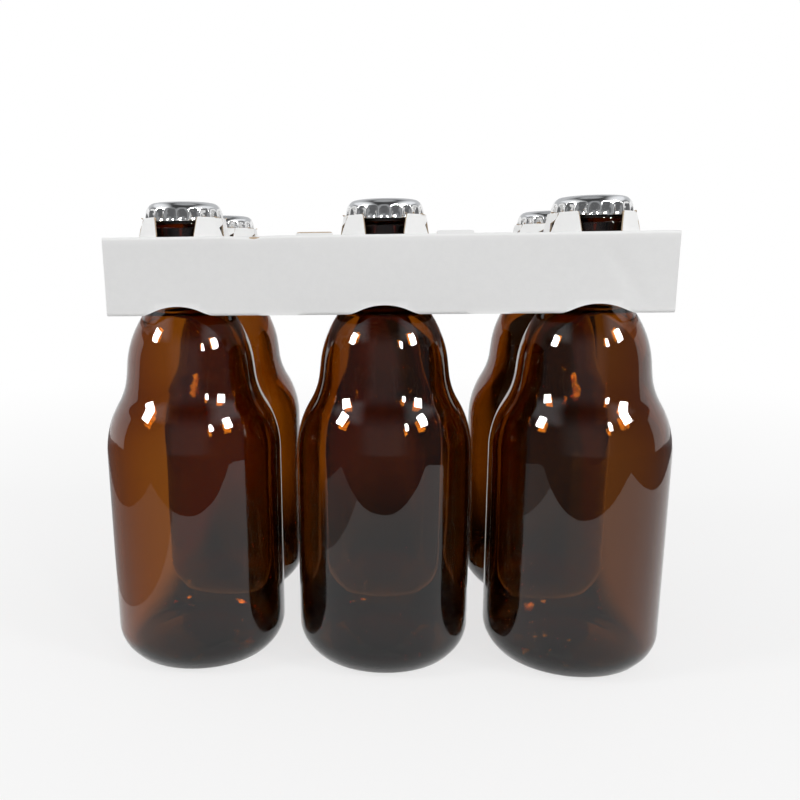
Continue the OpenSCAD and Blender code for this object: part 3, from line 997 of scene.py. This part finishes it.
def handle(spots, on_tabs):
    """The folded points with the marks of handling."""
    x, y, z = spots.T.copy()
    front = smooth_step(-y, *PANEL_FADE)
    top = smooth_step(z, *(SLEEVE_TOP_Z - fade for fade in TOP_FADE)) * ~on_tabs
    up = (z - SLEEVE_LOW_Z) / SLEEVE_H
    bow = np.sin(math.pi * np.clip(up, 0, 1)) * np.cos(math.pi * x / PITCH)
    y = y - front * BOW_DEPTH * bow
    panels = smooth_step(abs(y), *PANEL_FADE)
    y = y - np.sign(y) * WAVE_DEPTH * panels * np.sin(x / WAVE_L + WAVE_START)
    uneven = SAG_EVEN + (1 - SAG_EVEN) * np.cos(x / SAG_L)
    z = z - top * SAG_DEPTH * np.clip(1 - (y / SAG_HALF) ** 2, 0, 1) * uneven
    away = (x - DENT_X, y + SLEEVE_D / 2, SLEEVE_TOP_Z - z)
    near = math.prod(bell(distance, reach) for distance, reach in zip(away, DENT_REACH))
    z = z - DENT_DEPTH * near
    y = y + DENT_PUSH * DENT_DEPTH * near
    length = np.linalg.norm(CREASE_B - CREASE_A)
    run = (CREASE_B - CREASE_A) / length
    offset = np.stack([x, z], axis=1) - CREASE_A
    along, across = offset @ run, offset @ np.array([-run[1], run[0]])
    ends = smooth_step(along, *CREASE_FADE) * smooth_step(length - along, *CREASE_FADE)
    y = y + CREASE_DEPTH * front * bell(across, CREASE_HALF) * ends
    return np.stack([x, y, z], axis=1)


worn = handle(spots, on_tabs)
print("largest move", round(float(np.linalg.norm(worn - spots, axis=1).max()), 2), "mm")

# %% [markdown]
# ## Finishes of the board
# The outside is a matt white coat with faint paper mottle, and where it is scuffed the brown
# board shows. At the folds, at the rims of the base holes and over the tabs the white is
# painted lighter, a painted highlight where the bent board catches the light. The mesh carries
# these places as attributes, so the material can read them. Inside and at the cuts, the bare
# kraft shows its fibres.

# %% Board materials
COAT_WHITE, COAT_MOTTLE, COAT_CLOUD = (0.80, 0.80, 0.80), (0.87, 0.87, 0.865), (0.82, 0.82, 0.815)
# the lighter white is a painted highlight at folds, hole rims and tabs, where bent board catches
# light
COAT_FOLD_HIGHLIGHT, COAT_WORN = (0.95, 0.95, 0.945), (0.52, 0.38, 0.25)
FOLD_HIGHLIGHT_SHARE, CLOUD_SHARE = 0.9, 0.5
FIBRE_SHARE = 0.6


def white_coat():
    material, tree, output = new_material("white_coat")
    at = object_coordinates(tree)
    mottle = noise(tree, at, 420.0, detail=6.0, roughness=0.65)
    clouds = noise(tree, at, 38.0, detail=3.0)
    fibres = noise(tree, stretched(tree, at, (500, 1500, 1500)), 1.0, detail=4.0)
    scuff = add_node(tree, "ShaderNodeAttribute", attribute_name="scuff").outputs["Fac"]
    fold = add_node(tree, "ShaderNodeAttribute", attribute_name="fold").outputs["Fac"]
    white = blend_colours(tree, mottle, COAT_WHITE, COAT_MOTTLE)
    white = blend_colours(tree, spread(tree, clouds, 0.0, CLOUD_SHARE), white, COAT_CLOUD)
    # painted highlight: the white is lighter at folds, hole rims and tabs
    white = blend_colours(tree, calc(tree, "MULTIPLY", fold, FOLD_HIGHLIGHT_SHARE), white, COAT_FOLD_HIGHLIGHT)
    torn = calc(tree, "MULTIPLY", scuff, calc(tree, "ADD", fibres, 0.5))
    ragged = calc(tree, "GREATER_THAN", torn, 0.5)
    height = calc(tree, "ADD", calc(tree, "MULTIPLY", fibres, FIBRE_SHARE), mottle)
    paper = {
        "Base Color": blend_colours(tree, ragged, white, COAT_WORN),
        "Roughness": spread(tree, mottle, 0.55, 0.72),
        "Specular IOR Level": 0.35,
        "Normal": bumped(tree, height, 0.12, 0.0003),
    }
    principled(tree, output, paper)
    return material


def kraft(name, light, dark):
    material, tree, output = new_material(name)
    at = object_coordinates(tree)
    fibres = noise(tree, stretched(tree, at, (350, 1800, 1800)), 1.0, detail=5.0, roughness=0.7)
    clouds = noise(tree, at, 90.0, detail=3.0)
    strands = calc(tree, "MULTIPLY", fibres, FIBRE_SHARE)
    mix = calc(tree, "MULTIPLY_ADD", clouds, 1 - FIBRE_SHARE, strands)
    paper = {
        "Base Color": blend_colours(tree, mix, dark, light),
        "Roughness": spread(tree, fibres, 0.8, 0.95),
        "Specular IOR Level": 0.2,
        "Normal": bumped(tree, fibres, 0.3, 0.0003),
    }
    principled(tree, output, paper)
    return material


board_materials = [
    white_coat(),
    kraft("kraft_inside", (0.50, 0.36, 0.23), (0.30, 0.20, 0.12)),
    kraft("raw_edge", (0.62, 0.50, 0.37), (0.40, 0.29, 0.19)),
]
print("board finishes:", [m.name for m in board_materials])

# %% [markdown]
# ## The folded board as a piece
# The folded points are only the outer face, so a Solidify modifier gives the sheet its
# thickness. It can also give the inner face and the cut edges materials of their own, which
# is why the brown inside needs no second mesh. Before that, two attributes mark where the
# white gets a painted highlight, at folds, tabs and hole rims, and where it is worn through.

# %% Folded board piece
# reach of the painted highlight at the folds and at the hole rims
FOLD_HIGHLIGHT_HALF, RIM_HALF = 1.0, 0.8
SCUFF_X, SCUFF_HALF_L, SCUFF_HALF_W = -46.0, 2.6, 0.8
RAW_TIP, FLAP_SLACK = 1.3, 0.1
SHARP_EDGE = math.radians(35)


def board_marks(flat, on_tabs):
    """Where the white gets a painted highlight and where it is scuffed, from 0 to 1 for each point.
    """
    x, s = flat.T
    fold = np.max([bell(s - f, FOLD_HIGHLIGHT_HALF) for f in FOLDS_S], axis=0)
    for place in PLACES:
        rim = np.linalg.norm(flat - base_hole_centre(place), axis=1) - BASE_HOLE_R
        fold = np.maximum(fold, bell(rim, RIM_HALF))
    # the tabs and flaps get the painted highlight all over
    fold = np.maximum(fold, on_tabs)
    scuff = bell(x - SCUFF_X, SCUFF_HALF_L) * bell(s - TOP_S, SCUFF_HALF_W)
    left_flap = top_panel(-FINGER_X, 0)
    tip = FLAP["at"][-1] - (FLAP["hinge"] + (flat - left_flap)[:, 1])
    on_left_flap = on_tabs & (abs(x - left_flap[0]) < FLAP_HALF_W + FLAP_SLACK)
    return {"fold": fold, "scuff": np.where(on_left_flap & (tip < RAW_TIP), 1.0, scuff)}


def board_piece():
    mesh = bpy.data.meshes.new("carrier_board")
    used = np.unique(triangles)
    number = np.full(len(flat), -1)
    number[used] = np.arange(len(used))
    points = worn[used] * MM
    mesh.from_pydata([tuple(p) for p in points], [], [tuple(number[t]) for t in triangles])
    for name, values in board_marks(flat[used], on_tabs[used]).items():
        attribute = mesh.attributes.new(name, "FLOAT", "POINT")
        attribute.data.foreach_set("value", values.astype(np.float32))
    for material in board_materials:
        mesh.materials.append(material)
    piece = link_object("carrier_board", mesh)
    thick = piece.modifiers.new("board", "SOLIDIFY")
    thick.thickness = BOARD_T * MM
    thick.offset = -1
    thick.material_offset = 1
    thick.material_offset_rim = 2
    plain_mesh(piece)
    piece.data.shade_smooth()
    piece.data.set_sharp_from_angle(angle=SHARP_EDGE)
    return piece


board = board_piece()
print("carrier_board has", sum(len(p.vertices) - 2 for p in board.data.polygons), "triangles")

# %% [markdown]
# ## Liners
# The soft seal inside each cap is hidden, so its CAD solid stays. It still gets a finish of its
# own, a pale moulded plastic with a faint cloudiness, because someone may lift a cap off.


# %% Liner material
def liner_plastic():
    material, tree, output = new_material("liner_plastic")
    clouds = noise(tree, object_coordinates(tree), 300.0, detail=3.0)
    plastic = {
        "Base Color": blend_colours(tree, clouds, (0.72, 0.72, 0.69), (0.82, 0.82, 0.80)),
        "Roughness": spread(tree, clouds, 0.4, 0.55),
        "Normal": bumped(tree, clouds, 0.1, 0.0002),
    }
    principled(tree, output, plastic)
    return material


seal = liner_plastic()
for place in PLACE_NAMES:
    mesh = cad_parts["cap_liner_" + place].data
    mesh.materials.clear()
    mesh.materials.append(seal)
print("liners painted:", len(PLACE_NAMES))

# %% [markdown]
# ## Pieces stand for their CAD nodes
# Every piece rides on the one body of the pack, and the CAD nodes that it stands for are hidden.

# %% Ride and replace
for piece, stem, slot in (
    (bottles, "bottle_", "amber_glass"),
    (caps, "crown_cap_", "tinplate"),
):
    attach(piece, "root")
    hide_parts(*[stem + place for place in PLACE_NAMES])
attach(board, "root")
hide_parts("carrier")

# %% [markdown]
# ## Floor and backdrop
# The photograph has a plain white ground. The world is white where the camera, a mirror or the
# glass looks at it, and dimmer where it only lights the pack. The floor does the same, but it
# also keeps part of its real shading, so that the pack still stands on a soft shadow. Through
# the glass, the photograph shows the ground darker under the pack and to its right, so for
# rays that come through glass the floor's brightness follows its own x and y.

# %% World
WORLD_LIGHT = 0.48


def seen_directly(tree):
    """1 for a ray from the camera, off a mirror or through glass, and 0 for plain lighting."""
    path = add_node(tree, "ShaderNodeLightPath").outputs
    seen = calc(tree, "MAXIMUM", path["Is Camera Ray"], path["Is Glossy Ray"])
    return calc(tree, "MAXIMUM", seen, path["Is Transmission Ray"])


world = bpy.data.worlds.new("white_studio")
bpy.context.scene.world = world
world.use_nodes = True
world.node_tree.nodes.clear()
sky = world.node_tree
lit = add_node(sky, "ShaderNodeBackground", {"Color": (1, 1, 1, 1), "Strength": WORLD_LIGHT})
shown = add_node(sky, "ShaderNodeBackground", {"Color": (1, 1, 1, 1), "Strength": 1.0})
both = add_node(
    sky, "ShaderNodeMixShader", {0: seen_directly(sky), 1: lit.outputs[0], 2: shown.outputs[0]}
)
add_node(sky, "ShaderNodeOutputWorld", {"Surface": both.outputs[0]})
print("world lights the pack at", WORLD_LIGHT)

# %% Floor
# the floor lies a hair below the rings that the bottles stand on, so the faces do not flicker
FLOOR_HALF, FLOOR_Z = 6.0, -0.0002
FLOOR_GREY, FLOOR_OWN_SHADE, SHADE_REACH = 0.9, 0.27, 0.9
# the ground through the glass, in metres: it dims from left to right, turns dark in the shadow,
# and is pale again beyond the shadow's slanted edge, beside the pack and behind it
GROUND_LIT, GROUND_DUSK, GROUND_DARK, GROUND_BEYOND = 0.92, 0.5, 0.04, 0.45
DUSK_X, SHADOW_X = (-0.10, -0.01), (0.045, 0.10)
BEYOND_X, SHADOW_SLANT = (0.088, 0.108), 0.28
BESIDE_PACK, BEHIND_PACK = (0.098, 0.118), (0.09, 0.29)
CORNERS = [(-1, -1), (1, -1), (1, 1), (-1, 1)]


def ramp(tree, value, start, end, low, high):
    """A soft step from low to high while the value runs from start to end."""
    inputs = {"Value": value, "From Min": start, "From Max": end, "To Min": low, "To Max": high}
    return add_node(tree, "ShaderNodeMapRange", inputs, interpolation_type="SMOOTHSTEP").outputs[0]


def ground_behind(tree):
    """How bright the ground is through the glass: dark under the pack and in its shadow."""
    split = add_node(tree, "ShaderNodeSeparateXYZ", {0: object_coordinates(tree)}).outputs
    lit = ramp(tree, split["X"], *DUSK_X, GROUND_LIT, GROUND_DUSK)
    shadow = calc(tree, "MULTIPLY", lit, ramp(tree, split["X"], *SHADOW_X, 1.0, GROUND_DARK))
    past_edge = calc(tree, "MULTIPLY_ADD", split["Y"], -SHADOW_SLANT, split["X"])
    beyond = ramp(tree, past_edge, *BEYOND_X, 0.0, GROUND_BEYOND)
    beside = ramp(tree, calc(tree, "ABSOLUTE", split["X"]), *BESIDE_PACK, 0.0, 1.0)
    behind = ramp(tree, calc(tree, "ABSOLUTE", split["Y"]), *BEHIND_PACK, 0.0, 1.0)
    clear = calc(tree, "MAXIMUM", beside, behind)
    return calc(tree, "MULTIPLY", calc(tree, "MAXIMUM", shadow, beyond), clear)


def floor_paint():
    material, tree, output = new_material("white_floor")
    paint = add_node(tree, "ShaderNodeBsdfDiffuse", {"Color": (FLOOR_GREY,) * 3 + (1,)})
    away = add_node(tree, "ShaderNodeVectorMath", {0: object_coordinates(tree)}, operation="LENGTH")
    own = ramp(tree, away.outputs["Value"], 0.0, SHADE_REACH, 1 - FLOOR_OWN_SHADE, 1.0)
    through = add_node(tree, "ShaderNodeLightPath").outputs["Is Transmission Ray"]
    share = calc(tree, "MAXIMUM", calc(tree, "MULTIPLY", seen_directly(tree), own), through)
    dimmer = calc(tree, "SUBTRACT", 1.0, ground_behind(tree))
    level = calc(tree, "SUBTRACT", 1.0, calc(tree, "MULTIPLY", through, dimmer))
    glow = add_node(tree, "ShaderNodeEmission", {"Strength": level})
    mixed = add_node(
        tree, "ShaderNodeMixShader", {0: share, 1: paint.outputs[0], 2: glow.outputs[0]}
    )
    tree.links.new(mixed.outputs[0], output.inputs["Surface"])
    return material


floor_mesh = bpy.data.meshes.new("floor")
floor_mesh.from_pydata(
    [(x * FLOOR_HALF, y * FLOOR_HALF, FLOOR_Z) for x, y in CORNERS], [], [(0, 1, 2, 3)]
)
floor_mesh.materials.append(floor_paint())
floor = link_object("floor", floor_mesh)
print("floor", 2 * FLOOR_HALF, "m wide")

# %% [markdown]
# ## Windows and the dim room
# Glass shows what stands round it. In the photograph two bright windows and a lamp throw small
# white shapes on every shoulder, and the room behind the camera is dim. So there are three
# rectangular area lights. A lamp bright enough to make a white spot on glass would burn out the
# board, so each lamp is hidden from mirrors and glass, and a bright pane in its place, which
# lights nothing else, is what they see. A dim dome and a few dim strips of floor, which only
# mirrors see, stand for the room. The dome is open low at the back, where the white world
# shows, and it has a pale patch overhead, which the flat tops of the caps mirror.

# %% Lights
AIM = Vector((0, 0, 0.1))
PANE_GLOW = 80.0
# name, azimuth and elevation in degrees, distance, width and height in metres, power in watts
WINDOWS = [
    ("window_left", -66, 32, 1.2, 0.24, 0.24, 3.6),
    ("window_right", 60, 32, 1.2, 0.24, 0.24, 3.3),
    ("lamp_front", 33, 30, 1.3, 0.10, 0.18, 1.15),
]


def hide_from(thing, *rays):
    """The thing is there for other rays only."""
    for ray in rays:
        setattr(thing, "visible_" + ray, False)


def window(name, azimuth, elevation, distance, width, height, power):
    """A rectangular light that faces the pack; azimuth 0 is straight in front."""
    a, e = math.radians(azimuth), math.radians(elevation)
    way = Vector((math.sin(a) * math.cos(e), -math.cos(a) * math.cos(e), math.sin(e)))
    data = bpy.data.lights.new(name, "AREA")
    data.shape = "RECTANGLE"
    data.size, data.size_y, data.energy = width, height, power
    lamp = bpy.data.objects.new(name, data)
    bpy.context.scene.collection.objects.link(lamp)
    lamp.location = AIM + way * distance
    lamp.rotation_mode = "QUATERNION"
    lamp.rotation_quaternion = way.to_track_quat("Z", "Y")
    hide_from(lamp, "glossy", "transmission")
    window_pane(name + "_pane", lamp, width / 2, height / 2)


def window_pane(name, lamp, half_width, half_height):
    """The bright pane of a light, which only mirrors and glass see."""
    material, tree, output = new_material(name)
    glowing(tree, output, {"Strength": PANE_GLOW})
    turn = lamp.rotation_quaternion
    flat = [Vector((x * half_width, y * half_height, 0)) for x, y in CORNERS]
    mesh = bpy.data.meshes.new(name)
    mesh.from_pydata([lamp.location + turn @ corner for corner in flat], [], [(0, 1, 2, 3)])
    mesh.materials.append(material)
    pane = link_object(name, mesh)
    hide_from(pane, "camera", "diffuse", "volume_scatter", "shadow")


for row in WINDOWS:
    window(*row)
print("lights:", [row[0] for row in WINDOWS])

# %% Paints of the dim room
ROOM_RADIUS = 1.8
ROOM_TINT = (0.95, 0.97, 1.0, 1)
ROOM_DIM, ROOM_WALL, ROOM_PALE, ROOM_SIDES = 0.13, 0.33, 0.6, 1.0
CEILING_SHARE, OVERHEAD, HALF_DIM = 0.14, 0.42, 0.45
# where each shade of the room starts and ends, as shares of its radius
WALL_SHARES, SKIRTING_SHARES, CEILING_SHARES = (0.25, 0.6), (0.01, 0.1), (0.5, 0.8)
BACK_SHARES, SIDE_SHARES, SIDE_RISE_SHARES = (0.0, 0.6), (0.3, 0.6), (0.5, 0.66)
OVERHEAD_SHARES = (0.93, 0.985)


def room_paint():
    """Dim in front of the pack, and paler towards the back, high up at the sides and overhead."""
    material, tree, output = new_material("dim_room")
    split = add_node(tree, "ShaderNodeSeparateXYZ", {0: object_coordinates(tree)})
    x, y, z = (split.outputs[axis] for axis in "XYZ")
    aside = calc(tree, "ABSOLUTE", x)

    def shade(value, shares, low, high):
        return ramp(tree, value, *(share * ROOM_RADIUS for share in shares), low, high)

    wall = shade(aside, WALL_SHARES, ROOM_WALL, ROOM_DIM)
    wall = calc(tree, "MULTIPLY", wall, shade(z, SKIRTING_SHARES, 0.0, 1.0))
    wall = calc(tree, "MAXIMUM", wall, ROOM_DIM)
    front = calc(tree, "MULTIPLY", wall, shade(z, CEILING_SHARES, 1.0, CEILING_SHARE))
    wide = shade(aside, SIDE_SHARES, 0.0, ROOM_SIDES)
    sides = calc(tree, "MULTIPLY", wide, shade(z, SIDE_RISE_SHARES, 0.0, 1.0))
    level = calc(tree, "MAXIMUM", front, shade(y, BACK_SHARES, 0.0, ROOM_PALE))
    level = calc(tree, "MAXIMUM", level, sides)
    level = calc(tree, "MAXIMUM", level, shade(z, OVERHEAD_SHARES, 0.0, OVERHEAD))
    glowing(tree, output, {"Color": ROOM_TINT, "Strength": level})
    return material


def half_dim_paint():
    """The dusky strip of floor to the left of the pack."""
    material, tree, output = new_material("half_dim_floor")
    glowing(tree, output, {"Strength": HALF_DIM})
    return material


room_paints = [room_paint(), half_dim_paint()]
print("paints of the room:", [m.name for m in room_paints])

# %% Dome and dim strips of floor
ROOM_TURNS, ROOM_RISES = 48, 16
OPEN_BELOW = math.radians(22)
FLOOR_LIFT = 0.002
# edges of the dim strips of floor in front of the pack and on both sides of it
NEAR_Y, FAR_Y = -0.28, 0.6
LEFT_X, DUSKY_X, RIGHT_X = -0.32, -0.15, 0.38
# each strip's reach in x and y, and its paint: 0 is the room's, 1 the dusky one
DIM_FLOORS = [
    (-ROOM_RADIUS, -ROOM_RADIUS, ROOM_RADIUS, NEAR_Y, 0),
    (-ROOM_RADIUS, NEAR_Y, LEFT_X, FAR_Y, 0),
    (LEFT_X, NEAR_Y, DUSKY_X, FAR_Y, 1),
    (RIGHT_X, NEAR_Y, ROOM_RADIUS, FAR_Y, 0),
]


def dim_room():
    """A dome that is open low at the back, and the dim strips of floor."""
    points, faces = [], []
    for i in range(ROOM_TURNS + 1):
        turn = 2 * math.pi * i / ROOM_TURNS
        for j in range(ROOM_RISES + 1):
            rise = math.pi / 2 * j / ROOM_RISES
            flat, height = ROOM_RADIUS * math.cos(rise), ROOM_RADIUS * math.sin(rise)
            points.append((flat * math.sin(turn), -flat * math.cos(turn), height))
    row = ROOM_RISES + 1
    for i in range(ROOM_TURNS):
        for j in range(ROOM_RISES):
            behind = math.cos(2 * math.pi * (i + 0.5) / ROOM_TURNS) < 0
            if behind and math.pi / 2 * (j + 0.5) / ROOM_RISES < OPEN_BELOW:
                continue
            corner = i * row + j
            faces.append((corner, corner + 1, corner + row + 1, corner + row))
    paints = [0] * len(faces)
    for x0, y0, x1, y1, paint in DIM_FLOORS:
        first = len(points)
        points += [(x, y, FLOOR_LIFT) for x, y in ((x0, y0), (x1, y0), (x1, y1), (x0, y1))]
        faces.append(tuple(range(first, first + 4)))
        paints.append(paint)
    mesh = bpy.data.meshes.new("dim_room")
    mesh.from_pydata(points, [], faces)
    for paint in room_paints:
        mesh.materials.append(paint)
    mesh.polygons.foreach_set("material_index", paints)
    room = link_object("dim_room", mesh)
    hide_from(room, "camera", "diffuse", "transmission", "volume_scatter", "shadow")
    return room


room = dim_room()
print("room radius", ROOM_RADIUS, "m with", len(room.data.polygons), "faces")

# %% [markdown]
# ## View settings
# The Standard view keeps colours as they are written.

# %% View settings
bpy.context.scene.view_settings.view_transform = "Standard"
